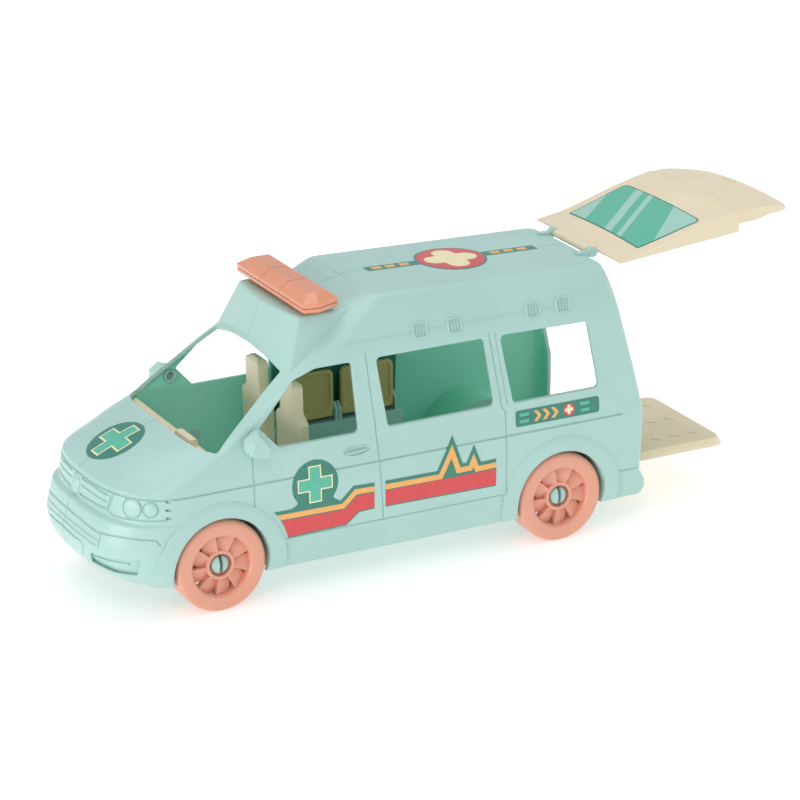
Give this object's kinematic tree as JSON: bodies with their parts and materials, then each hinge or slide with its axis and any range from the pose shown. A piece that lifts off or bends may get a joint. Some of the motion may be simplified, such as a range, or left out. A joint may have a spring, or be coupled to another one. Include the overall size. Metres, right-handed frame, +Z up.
{
  "type": "toy_ambulance",
  "caption": "Toy ambulance van of moulded plastic with an opening tailgate, a fold-up ramp, push-fit turbine wheels, a light bar and folding side seats",
  "frame": {"origin": "On the ground under the middle of the bounding box, as the toy stands with its tailgate and ramp open", "axes": "+X to the rear of the van, +Y to the passenger's side, +Z up"},
  "size_m": [0.4119, 0.13, 0.1651],
  "materials": {
    "mint_plastic": "satin",
    "cream_plastic": "satin",
    "salmon_plastic": "satin",
    "green_plastic": "matte",
    "screw_steel": "brushed"
  },
  "bodies": {
    "van": {"body_shell_left": "mint_plastic", "body_shell_right": "mint_plastic", "chassis_base": "mint_plastic", "cabin_floor": "mint_plastic", "light_bar_base": "salmon_plastic", "light_bar_cover": "salmon_plastic", "dashboard": "cream_plastic", "driver_seat": "cream_plastic", "passenger_seat": "cream_plastic", "side_wall_panel": "green_plastic", "jump_seat_rail": "mint_plastic", "mirror_left": "mint_plastic", "mirror_right": "mint_plastic", "chassis_screw_1": "screw_steel", "chassis_screw_2": "screw_steel", "chassis_screw_3": "screw_steel", "chassis_screw_4": "screw_steel", "chassis_screw_5": "screw_steel", "chassis_screw_6": "screw_steel"},
    "tailgate_body": {"tailgate": "cream_plastic"},
    "ramp_body": {"ramp": "cream_plastic"},
    "front_left_wheel_body": {"wheel_front_left": "salmon_plastic"},
    "front_right_wheel_body": {"wheel_front_right": "salmon_plastic"},
    "rear_left_wheel_body": {"wheel_rear_left": "salmon_plastic"},
    "rear_right_wheel_body": {"wheel_rear_right": "salmon_plastic"},
    "front_jump_seat_body": {"jump_seat_front": "cream_plastic"},
    "rear_jump_seat_body": {"jump_seat_rear": "cream_plastic"}
  },
  "joints": [
    {"name": "tailgate_hinge", "type": "hinge", "parent": "van", "child": "tailgate_body", "pos_m": [0.09265, 0, 0.1459], "axis": [0, 1, 0], "range_deg": [0, 87]},
    {"name": "ramp_hinge", "type": "hinge", "parent": "van", "child": "ramp_body", "pos_m": [0.10005, 0, 0.0305], "axis": [0, -1, 0], "range_deg": [0, 90]},
    {"name": "front_left_wheel", "type": "hinge", "parent": "van", "child": "front_left_wheel_body", "pos_m": [-0.14195, -0.0472, 0.0245], "axis": [0, 1, 0], "continuous": true},
    {"name": "front_right_wheel", "type": "hinge", "parent": "van", "child": "front_right_wheel_body", "pos_m": [-0.14195, 0.0472, 0.0245], "axis": [0, 1, 0], "continuous": true},
    {"name": "rear_left_wheel", "type": "hinge", "parent": "van", "child": "rear_left_wheel_body", "pos_m": [0.05505, -0.0472, 0.0245], "axis": [0, 1, 0], "continuous": true},
    {"name": "rear_right_wheel", "type": "hinge", "parent": "van", "child": "rear_right_wheel_body", "pos_m": [0.05505, 0.0472, 0.0245], "axis": [0, 1, 0], "continuous": true},
    {"name": "front_jump_seat_hinge", "type": "hinge", "parent": "van", "child": "front_jump_seat_body", "pos_m": [-0.0447, 0.04736, 0.0542], "axis": [1, 0, 0], "range_deg": [0, 90]},
    {"name": "rear_jump_seat_hinge", "type": "hinge", "parent": "van", "child": "rear_jump_seat_body", "pos_m": [-0.0084, 0.04736, 0.0542], "axis": [1, 0, 0], "range_deg": [0, 90]}
  ]
}
